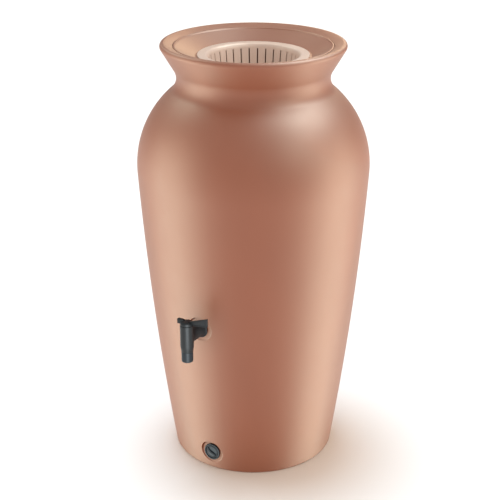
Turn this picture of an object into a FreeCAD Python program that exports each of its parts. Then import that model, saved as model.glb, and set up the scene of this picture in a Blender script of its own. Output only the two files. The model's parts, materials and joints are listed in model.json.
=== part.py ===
import FreeCAD, Part
import math
import os

import Sketcher
from FreeCAD import Placement, Rotation, Vector

# A free-standing amphora rain barrel: a thin moulded shell, a dished lid with a strainer basket in its hole,
# a lever tap and a screwed drain plug. Millimetres and degrees. The origin is the centre of the foot on the
# ground, +Z is up, and the tap and the drain face -Y.

SIZES = {
    # shell: side, shoulder, neck and flare are tangent to each other
    "height": 1155.0,
    "wall": 4.0,
    "belly_r": 309.6,
    "belly_z": 827.0,
    "shoulder_round": 265.0,
    "side_round": 8927.0,
    "neck_r": 201.0,
    "neck_round": 45.0,
    "flare_angle": 30.8,
    "lip_r": 242.0,
    "lip_fall": 20.0,
    "rebate_r": 208.5,
    "ledge_z": 1135.0,
    "mouth_r": 190.0,
    # foot: a flat ring round a raised underside
    "foot_side_r": 223.8,
    "foot_side_z": 5.0,
    "foot_round": 5.0,
    "foot_outer_r": 218.8,
    "foot_inner_r": 192.0,
    "foot_floor_step": 1.0,
    "kick_r": 172.0,
    "kick_z": 12.0,
    # flat round pads sunk in the wall; y is the distance of a pad's face from the axis
    "tap_pad_r": 32.5,
    "tap_pad_y": 275.5,
    "tap_pad_z": 452.0,
    "tap_hole_r": 13.6,
    "drain_pad_r": 32.5,
    "drain_pad_y": 224.7,
    "drain_pad_z": 53.5,
    "drain_hole_r": 16.9,
    # lid, measured from the ledge that carries it
    "lid_wall": 3.0,
    "lid_edge_r": 207.9,
    "lid_bead_z": 12.6,
    "lid_bead_crown": 1.5,
    "lid_bead_width": 5.2,
    "lid_bead_under": 5.3,
    "lid_dish_r": 151.0,
    "lid_dish_under": 1.0,
    "lid_seat_depth": 16.4,
    "lid_hole_r": 126.0,
    "lid_collar_depth": 26.0,
    "lid_guide_r": 188.4,
    "lid_guide_depth": 11.0,
    "lid_guide_inside": 2.2,
    "lid_guide_outside": 0.4,
    "lid_rib_depth": 24.0,
    "lid_rib_knee_r": 165.0,
    "lid_rib_width": 3.0,
    "lid_rib_bite": 1.0,
    "lid_rib_root": 1.0,
    "lid_rib_count": 12,
    # basket, measured from the underside of its flange
    "basket_r": 145.8,
    "basket_top_z": 4.4,
    "basket_edge_round": 1.5,
    "basket_neck_r": 118.3,
    "basket_lead_round": 6.0,
    "basket_foot_r": 105.8,
    "basket_depth": 112.0,
    "basket_wall": 2.5,
    "basket_foot_round": 1.5,
    "basket_neck_drop": 1.0,
    "slot_half": 1.5,
    "slot_top": 9.0,
    "slot_bottom": 96.0,
    "slot_count": 33,
    "floor_slot_inner_r": 24.0,
    "floor_slot_outer_r": 94.0,
    "floor_slot_half": 2.0,
    "floor_slot_count": 16,
    # tap, measured from the point where the axes of its barrel and its stem meet
    "tap_reach": 66.5,
    "tap_barrel_r": 17.5,
    "tap_barrel_top": 38.5,
    "tap_taper_top": 22.0,
    "tap_taper_foot": 36.0,
    "tap_bore_r": 10.5,
    "tap_roof": 4.0,
    "tap_socket_r": 13.7,
    "tap_socket_top": 23.0,
    "tap_stem_r": 16.5,
    "tap_water_r": 6.5,
    "tap_flange_r": 22.5,
    "tap_flange": 4.0,
    "tap_flare_start": 44.0,
    "tap_flare_end": 58.5,
    "tap_flare_r": 19.5,
    "tap_flare_round": 36.0,
    "tap_thread_r": 13.2,
    "tap_tail": 21.0,
    "tap_washer": 2.5,
    "tap_washer_r": 20.5,
    "tap_nut_r": 21.0,
    "tap_nut_flange_r": 22.5,
    "tap_nut": 10.0,
    "nut_flange": 2.5,
    # nozzle, screwed up into the tap's barrel
    "nozzle_r": 15.3,
    "nozzle_foot": 64.0,
    "nozzle_bore_r": 11.0,
    "nozzle_thread_r": 13.6,
    "nozzle_top": 25.8,
    "nozzle_chamfer": 1.0,
    "nozzle_ring_r": 12.3,
    "nozzle_ring_z": 24.4,
    "nozzle_ring_thick_r": 1.3,
    # cock: the ported plug inside the tap
    "cock_r": 10.45,
    "cock_foot": 22.0,
    "cock_shoulder": 34.3,
    "cock_neck_r": 6.0,
    "cock_neck_play": 0.05,
    "cock_neck_top": 38.7,
    "cock_drive_half": 4.0,
    "cock_top": 43.5,
    "cock_bore_r": 6.0,
    "cock_bore_top": 8.0,
    "ring_groove_r": 7.75,
    "ring_groove_z": 14.3,
    "ring_groove_half": 1.7,
    "ring_r": 9.1,
    "ring_thick_r": 1.3,
    "screw_pilot_r": 1.6,
    "screw_pilot_foot": 30.5,
    # lever, measured from the top of the tap's barrel
    "hub_r": 16.8,
    "hub_top": 11.0,
    "hub_gap": 0.3,
    "hub_round": 2.0,
    "hub_dome": 4.5,
    "hub_socket_half": 4.05,
    "hub_socket_top": 5.2,
    "hub_well_r": 7.6,
    "hub_well_z": 7.2,
    "hub_screw_r": 2.1,
    "fin_thick": 5.0,
    "fin_root": 10.0,
    "fin_tip": 62.8,
    "fin_root_low": 1.0,
    "fin_root_high": 12.5,
    "fin_tip_low": 8.0,
    "fin_tip_high": 30.8,
    "wing_thick": 9.0,
    "wing_root": 8.0,
    "wing_tip": 26.5,
    "wing_low": 0.6,
    "wing_high": 13.9,
    "screw_r": 1.5,
    "screw_foot": 7.0,
    "screw_head_r": 3.6,
    "screw_head": 2.2,
    "screw_head_edge": 1.0,
    "screw_head_cone": 1.2,
    "screw_cross_half": 1.6,
    "screw_slot": 0.9,
    "cap_r": 7.5,
    "cap_lip_r": 6.2,
    "cap_crown": 9.8,
    "cap_rim_z": 10.2,
    "cap_top": 12.4,
    # drain: a flanged bush through the pad and a screw plug in it, measured outwards from the pad
    "drain_washer": 1.6,
    "drain_washer_r": 23.0,
    "bush_flange_r": 24.0,
    "bush_flange": 5.0,
    "bush_dish_r": 19.5,
    "bush_dish": 3.2,
    "bush_thread_r": 16.5,
    "bush_tail": 21.0,
    "bush_bore_r": 12.3,
    "bush_seal_r": 15.0,
    "bush_seal_depth": 2.6,
    "drain_nut_r": 25.0,
    "drain_nut_flange_r": 26.0,
    "drain_nut": 9.0,
    "plug_head_r": 18.5,
    "plug_head": 2.8,
    "plug_thread_r": 12.2,
    "plug_length": 12.5,
    "plug_bore_r": 9.0,
    "plug_bore_end": 2.0,
    "plug_grip_half_length": 16.0,
    "plug_grip_half_width": 4.5,
    "plug_grip": 7.6,
    "plug_grip_angle": 39.0,
    "plug_seal_r": 13.6,
    "plug_seal_thick_r": 1.25,
    "plug_seal_sink": 1.3,
    "bush_edge": 2.0,
    # shared: play round threads, small chamfers, and how far a cutting tool runs past what it cuts
    "washer_play": 0.2,
    "nut_play": 0.1,
    "chamfer": 1.0,
    "past": 1.0,
}


def shell_joints():
    """Points where the shell's lines and arcs meet, for its outer and its inner skin."""
    shoulder = (SIZES["belly_r"] - SIZES["shoulder_round"], SIZES["belly_z"])
    foot = (SIZES["foot_side_r"] - shoulder[0], SIZES["foot_side_z"] - shoulder[1])
    apart = SIZES["side_round"] - SIZES["shoulder_round"]
    reach = math.hypot(*foot)
    lean = (SIZES["side_round"] ** 2 - apart ** 2 - reach ** 2) / (2 * apart)
    side_angle = math.atan2(foot[1], foot[0]) + math.acos(lean / reach)
    side = (shoulder[0] - apart * math.cos(side_angle), shoulder[1] - apart * math.sin(side_angle))
    foot_angle = math.atan2(SIZES["foot_side_z"] - side[1], SIZES["foot_side_r"] - side[0])

    neck_r = SIZES["neck_r"] + SIZES["neck_round"]
    neck_rise = math.sqrt((SIZES["shoulder_round"] + SIZES["neck_round"]) ** 2 - (neck_r - shoulder[0]) ** 2)
    neck = (neck_r, shoulder[1] + neck_rise)
    neck_angle = math.atan2(neck_rise, neck_r - shoulder[0])

    flare = math.radians(SIZES["flare_angle"])
    outwards = (math.cos(flare), -math.sin(flare))
    flare_foot = (neck[0] - SIZES["neck_round"] * outwards[0], neck[1] - SIZES["neck_round"] * outwards[1])
    gap = ((SIZES["lip_r"] - flare_foot[0]) * outwards[0]
           + (SIZES["height"] - flare_foot[1]) * outwards[1])
    lip_round = gap / (outwards[0] + outwards[1] - 1)
    lip = (SIZES["lip_r"] - lip_round, SIZES["height"] - lip_round)
    fall = math.radians(90 + SIZES["lip_fall"])

    joints = {"lip_round": lip_round}
    for skin, inset in (("outer", 0.0), ("inner", SIZES["wall"])):
        arcs = {
            "side_foot": (side, SIZES["side_round"] - inset, foot_angle),
            "side_top": (side, SIZES["side_round"] - inset, side_angle),
            "neck_foot": (neck, SIZES["neck_round"] + inset, neck_angle + math.pi),
            "flare_foot": (neck, SIZES["neck_round"] + inset, math.pi - flare),
            "flare_top": (lip, lip_round - inset, -flare),
            "lip_end": (lip, lip_round - inset, fall),
        }
        for joint, (centre, radius, angle) in arcs.items():
            joints[skin + "_" + joint + "_r"] = centre[0] + radius * math.cos(angle)
            joints[skin + "_" + joint + "_z"] = centre[1] + radius * math.sin(angle)
        rebate_r = SIZES["rebate_r"] + inset
        run = joints[skin + "_lip_end_r"] - rebate_r
        joints[skin + "_rebate_z"] = joints[skin + "_lip_end_z"] - run * math.tan(fall - math.pi / 2)
    return joints


SIZES.update(shell_joints())
cap_rise = SIZES["cap_top"] - SIZES["cap_rim_z"]
SIZES["cap_round"] = (SIZES["cap_r"] ** 2 + cap_rise ** 2) / (2 * cap_rise)

doc = FreeCAD.newDocument("rain_barrel")
sheet = doc.addObject("Spreadsheet::Sheet", "sizes")
for row, (cell_name, cell_value) in enumerate(SIZES.items(), 1):
    sheet.set("A%d" % row, cell_name)
    sheet.set("B%d" % row, str(cell_value))
    sheet.setAlias("B%d" % row, cell_name)
doc.recompute()

SUBPARTS = []


# ---------------------------------------------------------------- helpers


def amount(text):
    """Value of a sum of cell names and numbers, such as "lid_edge_r - lid_wall"."""
    total = 0.0
    sign = 1
    for word in str(text).split():
        if word in "+-":
            sign = 1 if word == "+" else -1
        else:
            total += sign * (SIZES[word] if word in SIZES else float(word))
    return total


def bound(text):
    """The same sum as an expression on the sheet."""
    return " ".join("sizes." + word if word in SIZES else word for word in str(text).split())


def bind(thing, **sums):
    """Bind properties of an object to sums of cells."""
    for name, text in sums.items():
        thing.setExpression(name.replace("_at_", "."), bound(text))


def subpart(thing, label, x="0", y="0", z="0", turn=None):
    """Name a finished sub-part and put it in its place."""
    thing.Label = label
    if turn:
        thing.Placement = Placement(Vector(), turn)
    bind(thing, Placement_at_Base_at_x=x, Placement_at_Base_at_y=y, Placement_at_Base_at_z=z)
    SUBPARTS.append(thing)
    return thing


def at_tap(thing, label, rise="0"):
    """Put a piece that is measured from the tap's centre."""
    return subpart(thing, label, y="- tap_pad_y - tap_reach", z="tap_pad_z + " + rise)


FACING_OUT = Rotation(Vector(1, 0, 0), 90)


def plane_sketch(body, role, name):
    """A sketch on one of the body's own origin planes."""
    sketch = body.newObject("Sketcher::SketchObject", name)
    for feature in body.Origin.OriginFeatures:
        if feature.Role == role:
            sketch.AttachmentSupport = [(feature, "")]
    sketch.MapMode = "FlatFace"
    return sketch


def tie(sketch, kind, edge, end, text):
    """Hold one coordinate of a point to a sum of cells."""
    if amount(text) == 0:
        axis = -2 if kind == "DistanceX" else -1
        sketch.addConstraint(Sketcher.Constraint("PointOnObject", edge, end, axis))
        return
    number = sketch.addConstraint(Sketcher.Constraint(kind, -1, 1, edge, end, amount(text)))
    sketch.setExpression("Constraints[%d]" % number, bound(text))


def outline(sketch, corners):
    """Draw a closed chain. A corner is (across, up) and a line leads on to the next one, or
    (across, up, radius) and an arc does: anticlockwise, or clockwise with a minus sign."""
    points = [Vector(amount(corner[0]), amount(corner[1]), 0) for corner in corners]
    ends = []
    for place, corner in enumerate(corners):
        start = points[place]
        stop = points[(place + 1) % len(points)]
        if len(corner) == 2:
            edge = sketch.addGeometry(Part.LineSegment(start, stop), False)
            ends.append((edge, 1, 2))
            continue
        radius = amount(corner[2])
        along = stop - start
        rise = math.sqrt(max(radius ** 2 - (along.Length / 2) ** 2, 0.0))
        left = Vector(-along.y, along.x, 0).normalize()
        centre = (start + stop) / 2 + left * math.copysign(rise, radius)
        spokes = [math.atan2(point.y - centre.y, point.x - centre.x) for point in (start, stop)]
        if radius < 0:
            spokes.reverse()
        circle = Part.Circle(centre, Vector(0, 0, 1), abs(radius))
        edge = sketch.addGeometry(Part.ArcOfCircle(circle, *spokes), False)
        ends.append((edge, 1, 2) if radius > 0 else (edge, 2, 1))
        number = sketch.addConstraint(Sketcher.Constraint("Radius", edge, abs(radius)))
        sketch.setExpression("Constraints[%d]" % number, bound(corner[2].lstrip("- ")))
    for place, corner in enumerate(corners):
        edge, first, last = ends[place]
        after = ends[(place + 1) % len(ends)]
        sketch.addConstraint(Sketcher.Constraint("Coincident", edge, last, after[0], after[1]))
        tie(sketch, "DistanceX", edge, first, corner[0])
        tie(sketch, "DistanceY", edge, first, corner[1])


def disc(sketch, across, up, radius):
    """Draw a circle whose centre and radius are sums of cells."""
    circle = Part.Circle(Vector(amount(across), amount(up), 0), Vector(0, 0, 1), amount(radius))
    edge = sketch.addGeometry(circle, False)
    number = sketch.addConstraint(Sketcher.Constraint("Radius", edge, amount(radius)))
    sketch.setExpression("Constraints[%d]" % number, bound(radius))
    tie(sketch, "DistanceX", edge, 3, across)
    tie(sketch, "DistanceY", edge, 3, up)


def rectangle(sketch, left, right, low, high):
    """Draw an upright rectangle between four sums of cells."""
    outline(sketch, [(left, low), (right, low), (right, high), (left, high)])


def new_body(name):
    return doc.addObject("PartDesign::Body", name)


def spun(body, name, corners, role="XZ_Plane", axis="V_Axis", cut=False):
    """Turn an outline about the sketch's vertical or horizontal axis, as a solid or as a cut."""
    sketch = plane_sketch(body, role, name + "_sketch")
    outline(sketch, corners)
    spin = body.newObject("PartDesign::Groove" if cut else "PartDesign::Revolution", name)
    spin.Profile = sketch
    spin.ReferenceAxis = (sketch, [axis])
    spin.Angle = 360
    return spin


def padded(body, name, sketch, length, both_ways=False, cut=False, backwards=False):
    """Pad or pocket a sketch by a sum of cells."""
    slab = body.newObject("PartDesign::Pocket" if cut else "PartDesign::Pad", name)
    slab.Profile = sketch
    slab.Midplane = both_ways
    slab.Reversed = backwards
    bind(slab, Length=length)
    return slab


def around(body, name, feature, count):
    """Repeat a feature about the body's Z axis."""
    pattern = body.newObject("PartDesign::PolarPattern", name)
    pattern.Originals = [feature]
    for axis in body.Origin.OriginFeatures:
        if axis.Role == "Z_Axis":
            pattern.Axis = (axis, [""])
    pattern.Angle = 360
    bind(pattern, Occurrences=count)
    body.Tip = pattern
    return pattern


def cut_more(body, feature):
    """Check that a cutting feature really removes material."""
    doc.recompute()
    before = feature.BaseFeature.Shape.Volume
    if feature.Shape.Volume > before - 0.01:
        raise RuntimeError(feature.Name + " cuts nothing")


def ring_body(label, name, inner, outer, low, high):
    """A flat washer about its own Z axis."""
    body = new_body(name)
    spun(body, name + "_ring", [(inner, low), (outer, low), (outer, high), (inner, high)])
    body.Label = label
    return body


def primitive(kind, name, **sums):
    thing = doc.addObject("Part::" + kind, name)
    bind(thing, **sums)
    return thing


def boolean(kind, name, base, tool):
    thing = doc.addObject("Part::" + kind, name)
    thing.Base = base
    thing.Tool = tool
    return thing


# ---------------------------------------------------------------- barrel


def outer_solid():
    """The barrel filled solid, from its raised underside to the lid's ledge."""
    body = new_body("barrel_filled")
    spun(body, "barrel_outside", [
        ("0", "kick_z"),
        ("kick_r", "kick_z"),
        ("foot_inner_r", "0"),
        ("foot_outer_r", "0", "foot_round"),
        ("outer_side_foot_r", "outer_side_foot_z", "side_round"),
        ("outer_side_top_r", "outer_side_top_z", "shoulder_round"),
        ("outer_neck_foot_r", "outer_neck_foot_z", "- neck_round"),
        ("outer_flare_foot_r", "outer_flare_foot_z"),
        ("outer_flare_top_r", "outer_flare_top_z", "lip_round"),
        ("outer_lip_end_r", "outer_lip_end_z"),
        ("rebate_r", "outer_rebate_z"),
        ("rebate_r", "ledge_z"),
        ("0", "ledge_z"),
    ])
    return body


def cavity_solid():
    """The space inside the barrel, one wall in from the outside, with the mouth above it."""
    body = new_body("barrel_cavity")
    spun(body, "barrel_inside", [
        ("0", "kick_z + wall"),
        ("kick_r", "kick_z + wall"),
        ("foot_inner_r", "wall"),
        ("foot_outer_r - foot_floor_step", "wall"),
        ("inner_side_foot_r", "inner_side_foot_z + wall", "side_round - wall"),
        ("inner_side_top_r", "inner_side_top_z", "shoulder_round - wall"),
        ("inner_neck_foot_r", "inner_neck_foot_z", "- neck_round + wall"),
        ("inner_flare_foot_r", "inner_flare_foot_z"),
        ("inner_flare_top_r", "inner_flare_top_z", "lip_round - wall"),
        ("inner_lip_end_r", "inner_lip_end_z"),
        ("rebate_r + wall", "inner_rebate_z"),
        ("rebate_r + wall", "ledge_z - wall"),
        ("mouth_r", "ledge_z - wall"),
        ("mouth_r", "ledge_z + wall"),
        ("0", "ledge_z + wall"),
    ])
    return body


def outward_cylinder(name, radius, back, height_z):
    """A cylinder along -Y, from a sum of cells to beyond the barrel's wall."""
    tool = primitive("Cylinder", name, Radius=radius, Height="belly_r")
    tool.Placement = Placement(Vector(), FACING_OUT)
    bind(tool, Placement_at_Base_at_y=back, Placement_at_Base_at_z=height_z)
    return tool


def make_barrel():
    space = cavity_solid()
    for pad in ("tap", "drain"):
        face = "- %s_pad_y" % pad
        boss = outward_cylinder(pad + "_boss", pad + "_pad_r + wall", face + " + wall", pad + "_pad_z")
        space = boolean("Cut", "cavity_less_" + pad, space, boss)
    shell = boolean("Cut", "barrel_shell", outer_solid(), space)
    for pad in ("tap", "drain"):
        face = "- %s_pad_y" % pad
        pocket = outward_cylinder(pad + "_pocket", pad + "_pad_r", face, pad + "_pad_z")
        hole = outward_cylinder(pad + "_hole", pad + "_hole_r", face + " + wall + wall", pad + "_pad_z")
        for tool in (pocket, hole):
            shell = boolean("Cut", "shell_less_" + tool.Name, shell, tool)
    subpart(shell, "barrel_body")


# ---------------------------------------------------------------- lid and basket


def make_lid():
    body = new_body("lid_solid")
    dish_z = "- lid_seat_depth"
    under_z = "- lid_seat_depth - lid_wall"
    spun(body, "lid_ring", [
        ("lid_edge_r - lid_wall", "0"),
        ("lid_edge_r", "0"),
        ("lid_edge_r", "lid_bead_z - lid_bead_crown", "lid_wall"),
        ("lid_edge_r - lid_bead_width", "lid_bead_z - lid_bead_crown"),
        ("lid_dish_r", dish_z),
        ("lid_hole_r", dish_z),
        ("lid_hole_r", "- lid_collar_depth"),
        ("lid_hole_r + lid_wall", "- lid_collar_depth"),
        ("lid_hole_r + lid_wall", under_z),
        ("lid_dish_r - lid_dish_under", under_z),
        ("lid_guide_r - lid_wall", "- lid_guide_inside"),
        ("lid_guide_r - lid_wall", "- lid_guide_depth"),
        ("lid_guide_r", "- lid_guide_depth"),
        ("lid_guide_r", "lid_guide_outside"),
        ("lid_edge_r - lid_wall", "lid_bead_z - lid_bead_under"),
    ])
    sketch = plane_sketch(body, "XZ_Plane", "rib_sketch")
    outline(sketch, [
        ("lid_hole_r + lid_wall - lid_rib_bite", "- lid_rib_depth"),
        ("lid_rib_knee_r", "- lid_rib_depth"),
        ("lid_guide_r - lid_wall + lid_rib_bite", "- lid_guide_depth"),
        ("lid_guide_r - lid_wall + lid_rib_bite", "- lid_rib_root"),
        ("lid_dish_r - lid_dish_under", under_z + " + lid_rib_bite"),
        ("lid_hole_r + lid_wall - lid_rib_bite", under_z + " + lid_rib_bite"),
    ])
    rib = padded(body, "rib", sketch, "lid_rib_width", both_ways=True)
    around(body, "ribs", rib, "lid_rib_count")
    subpart(body, "lid", z="ledge_z")


def make_basket():
    body = new_body("basket_solid")
    spun(body, "basket_shell", [
        ("0", "- basket_depth"),
        ("basket_foot_r + basket_wall - basket_foot_round", "- basket_depth", "basket_foot_round"),
        ("basket_foot_r + basket_wall", "- basket_depth + basket_foot_round"),
        ("basket_neck_r + basket_wall", "- basket_neck_drop"),
        ("basket_neck_r + basket_wall", "0"),
        ("basket_r - basket_edge_round", "0", "basket_edge_round"),
        ("basket_r", "basket_edge_round"),
        ("basket_r", "basket_top_z - basket_edge_round", "basket_edge_round"),
        ("basket_r - basket_edge_round", "basket_top_z"),
        ("basket_neck_r + basket_lead_round", "basket_top_z", "basket_lead_round"),
        ("basket_neck_r", "basket_top_z - basket_lead_round"),
        ("basket_foot_r", "- basket_depth + basket_wall"),
        ("0", "- basket_depth + basket_wall"),
    ])
    sketch = plane_sketch(body, "YZ_Plane", "slot_sketch")
    rectangle(sketch, "- slot_half", "slot_half", "- slot_bottom", "- slot_top")
    slot = padded(body, "slot", sketch, "basket_r", cut=True)
    cut_more(body, slot)
    around(body, "slots", slot, "slot_count")
    sketch = plane_sketch(body, "XY_Plane", "floor_slot_sketch")
    rectangle(sketch, "floor_slot_inner_r", "floor_slot_outer_r", "- floor_slot_half", "floor_slot_half")
    slot = padded(body, "floor_slot", sketch, "basket_depth + past", cut=True)
    cut_more(body, slot)
    around(body, "floor_slots", slot, "floor_slot_count")
    subpart(body, "filter_basket", z="ledge_z - lid_seat_depth")


# ---------------------------------------------------------------- tap


def make_tap_body():
    body = new_body("tap_solid")
    spun(body, "tap_barrel", [
        ("0", "- tap_taper_foot"),
        ("nozzle_r", "- tap_taper_foot"),
        ("tap_barrel_r", "- tap_taper_top"),
        ("tap_barrel_r", "tap_barrel_top - chamfer", "chamfer"),
        ("tap_barrel_r - chamfer", "tap_barrel_top"),
        ("0", "tap_barrel_top"),
    ])
    flange_back = "tap_reach - tap_washer"
    flange_front = flange_back + " - tap_flange"
    spun(body, "tap_stem", [
        ("0", "0"),
        (flange_back + " + tap_tail", "0"),
        (flange_back + " + tap_tail", "tap_thread_r - chamfer"),
        (flange_back + " + tap_tail - chamfer", "tap_thread_r"),
        (flange_back, "tap_thread_r"),
        (flange_back, "tap_flange_r"),
        (flange_front + " + chamfer", "tap_flange_r"),
        (flange_front, "tap_flange_r - chamfer"),
        (flange_front, "tap_flare_r + chamfer"),
        ("tap_flare_end", "tap_flare_r", "- tap_flare_round"),
        ("tap_flare_start", "tap_stem_r"),
        ("0", "tap_stem_r"),
    ], role="YZ_Plane", axis="H_Axis")
    bore = spun(body, "tap_bore", [
        ("0", "- tap_taper_foot - past"),
        ("tap_socket_r", "- tap_taper_foot - past"),
        ("tap_socket_r", "- tap_socket_top"),
        ("tap_bore_r", "- tap_socket_top"),
        ("tap_bore_r", "tap_barrel_top - tap_roof"),
        ("cock_neck_r + cock_neck_play", "tap_barrel_top - tap_roof"),
        ("cock_neck_r + cock_neck_play", "tap_barrel_top + past"),
        ("0", "tap_barrel_top + past"),
    ], cut=True)
    cut_more(body, bore)
    bore = spun(body, "tap_waterway", [
        ("0", "0"),
        (flange_back + " + tap_tail + past", "0"),
        (flange_back + " + tap_tail + past", "tap_water_r"),
        ("0", "tap_water_r"),
    ], role="YZ_Plane", axis="H_Axis", cut=True)
    cut_more(body, bore)
    at_tap(body, "tap_body")


def make_nozzle():
    body = new_body("nozzle_solid")
    spun(body, "nozzle_tube", [
        ("nozzle_bore_r + nozzle_chamfer", "- nozzle_foot"),
        ("nozzle_r - nozzle_chamfer", "- nozzle_foot"),
        ("nozzle_r", "- nozzle_foot + nozzle_chamfer"),
        ("nozzle_r", "- tap_taper_foot"),
        ("nozzle_thread_r", "- tap_taper_foot"),
        ("nozzle_thread_r", "- nozzle_top"),
        ("nozzle_bore_r", "- nozzle_top"),
        ("nozzle_bore_r", "- nozzle_foot + nozzle_chamfer"),
    ])
    at_tap(body, "tap_nozzle")
    ring = primitive("Torus", "nozzle_ring", Radius1="nozzle_ring_r", Radius2="nozzle_ring_thick_r")
    at_tap(ring, "nozzle_o_ring", rise="0 - nozzle_ring_z")


def make_cock():
    body = new_body("cock_solid")
    low_groove = "- ring_groove_z"
    high_groove = "ring_groove_z"
    spun(body, "cock_turned", [
        ("0", "- cock_foot"),
        ("cock_r", "- cock_foot"),
        ("cock_r", low_groove + " - ring_groove_half"),
        ("ring_groove_r", low_groove + " - ring_groove_half"),
        ("ring_groove_r", low_groove + " + ring_groove_half"),
        ("cock_r", low_groove + " + ring_groove_half"),
        ("cock_r", high_groove + " - ring_groove_half"),
        ("ring_groove_r", high_groove + " - ring_groove_half"),
        ("ring_groove_r", high_groove + " + ring_groove_half"),
        ("cock_r", high_groove + " + ring_groove_half"),
        ("cock_r", "cock_shoulder"),
        ("cock_neck_r", "cock_shoulder"),
        ("cock_neck_r", "cock_neck_top"),
        ("0", "cock_neck_top"),
    ])
    sketch = plane_sketch(body, "XY_Plane", "drive_sketch")
    rectangle(sketch, "- cock_drive_half", "cock_drive_half", "- cock_drive_half", "cock_drive_half")
    padded(body, "drive", sketch, "cock_top")
    bore = spun(body, "cock_bore", [
        ("0", "- cock_foot - past"),
        ("cock_bore_r", "- cock_foot - past"),
        ("cock_bore_r", "cock_bore_top"),
        ("0", "cock_bore_top"),
    ], cut=True)
    cut_more(body, bore)
    sketch = plane_sketch(body, "YZ_Plane", "port_sketch")
    disc(sketch, "0", "0", "cock_bore_r")
    port = padded(body, "port", sketch, "cock_r + past", cut=True)
    cut_more(body, port)
    pilot = spun(body, "pilot", [
        ("0", "screw_pilot_foot"),
        ("screw_pilot_r", "screw_pilot_foot"),
        ("screw_pilot_r", "cock_top + past"),
        ("0", "cock_top + past"),
    ], cut=True)
    cut_more(body, pilot)
    at_tap(body, "tap_cock")

    rings = []
    for name, height_z in (("low_ring", "- ring_groove_z"), ("high_ring", "ring_groove_z")):
        ring = primitive("Torus", name, Radius1="ring_r", Radius2="ring_thick_r")
        bind(ring, Placement_at_Base_at_z=height_z)
        rings.append(ring)
    pair = doc.addObject("Part::Compound", "ring_pair")
    pair.Links = rings
    at_tap(pair, "cock_o_rings")


def make_handle():
    body = new_body("handle_solid")
    spun(body, "hub", [
        ("0", "hub_gap"),
        ("hub_r - hub_round", "hub_gap", "hub_round"),
        ("hub_r", "hub_gap + hub_round"),
        ("hub_r", "hub_top - hub_dome", "hub_dome"),
        ("hub_r - hub_dome", "hub_top"),
        ("0", "hub_top"),
    ])
    sketch = plane_sketch(body, "XZ_Plane", "fin_sketch")
    outline(sketch, [
        ("fin_root", "fin_root_low"),
        ("fin_tip", "fin_tip_low"),
        ("fin_tip", "fin_tip_high"),
        ("fin_root", "fin_root_high"),
    ])
    padded(body, "fin", sketch, "fin_thick", both_ways=True)
    sketch = plane_sketch(body, "XZ_Plane", "wing_sketch")
    rectangle(sketch, "- wing_tip", "- wing_root", "wing_low", "wing_high")
    padded(body, "wing", sketch, "wing_thick", both_ways=True)
    well = spun(body, "well", [
        ("0", "hub_socket_top - past"),
        ("hub_screw_r", "hub_socket_top - past"),
        ("hub_screw_r", "hub_well_z"),
        ("hub_well_r", "hub_well_z"),
        ("hub_well_r", "wing_high + past"),
        ("0", "wing_high + past"),
    ], cut=True)
    cut_more(body, well)
    sketch = plane_sketch(body, "XY_Plane", "socket_sketch")
    rectangle(sketch, "- hub_socket_half", "hub_socket_half", "- hub_socket_half", "hub_socket_half")
    socket = padded(body, "socket", sketch, "hub_socket_top", cut=True, backwards=True)
    cut_more(body, socket)
    at_tap(body, "tap_handle", rise="tap_barrel_top")


def make_handle_screw():
    body = new_body("screw_solid")
    spun(body, "screw_turned", [
        ("0", "- screw_foot"),
        ("screw_r", "- screw_foot"),
        ("screw_r", "hub_well_z"),
        ("screw_head_r", "hub_well_z"),
        ("screw_head_r", "hub_well_z + screw_head_edge"),
        ("screw_head_r - screw_head_cone", "hub_well_z + screw_head"),
        ("0", "hub_well_z + screw_head"),
    ])
    for role in ("XZ_Plane", "YZ_Plane"):
        sketch = plane_sketch(body, role, "cross_" + role[:2])
        rectangle(sketch, "- screw_cross_half", "screw_cross_half",
                  "hub_well_z + screw_head_edge", "hub_well_z + screw_head + past")
        cross = padded(body, "cross_slot_" + role[:2], sketch, "screw_slot", both_ways=True, cut=True)
        cut_more(body, cross)
    at_tap(body, "handle_screw", rise="tap_barrel_top")


def make_cap():
    body = new_body("cap_solid")
    spun(body, "cap_dome", [
        ("cap_lip_r", "hub_well_z"),
        ("cap_r", "hub_well_z"),
        ("cap_r", "cap_rim_z", "cap_round"),
        ("0", "cap_top"),
        ("0", "cap_crown"),
        ("cap_lip_r", "cap_crown"),
    ])
    at_tap(body, "tap_cap", rise="tap_barrel_top")


# ---------------------------------------------------------------- pieces about a pad's own axis


def at_pad(thing, label, pad):
    """Put a piece that is measured outwards from a pad's face."""
    return subpart(thing, label, y="- %s_pad_y" % pad, z=pad + "_pad_z", turn=FACING_OUT)


def washers_and_nut(pad, outer_label, inner_label, nut_label, bore):
    """Both washers and the back nut of a fitting that passes through a pad."""
    thick = pad + "_washer"
    rim = pad + "_washer_r"
    hole = bore + " + washer_play"
    at_pad(ring_body(outer_label, pad + "_outside_ring", hole, rim, "0", thick), outer_label, pad)
    inside = ring_body(inner_label, pad + "_inside_ring", hole, rim, "- wall - " + thick, "- wall")
    at_pad(inside, inner_label, pad)
    flange = ring_body("flange", pad + "_nut_flange", bore + " + nut_play", pad + "_nut_flange_r",
                       "- wall - %s - nut_flange" % thick, "- wall - " + thick)
    hexagon = primitive("Prism", pad + "_nut_hexagon", Circumradius=pad + "_nut_r", Height=pad + "_nut")
    hexagon.Polygon = 6
    bind(hexagon, Placement_at_Base_at_z="- wall - %s - %s_nut" % (thick, pad))
    hole_tool = primitive("Cylinder", pad + "_nut_bore", Radius=bore + " + nut_play", Height="belly_r")
    bind(hole_tool, Placement_at_Base_at_z="- belly_r")
    blank = boolean("Fuse", pad + "_nut_blank", hexagon, flange)
    at_pad(boolean("Cut", pad + "_nut_bored", blank, hole_tool), nut_label, pad)


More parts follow.
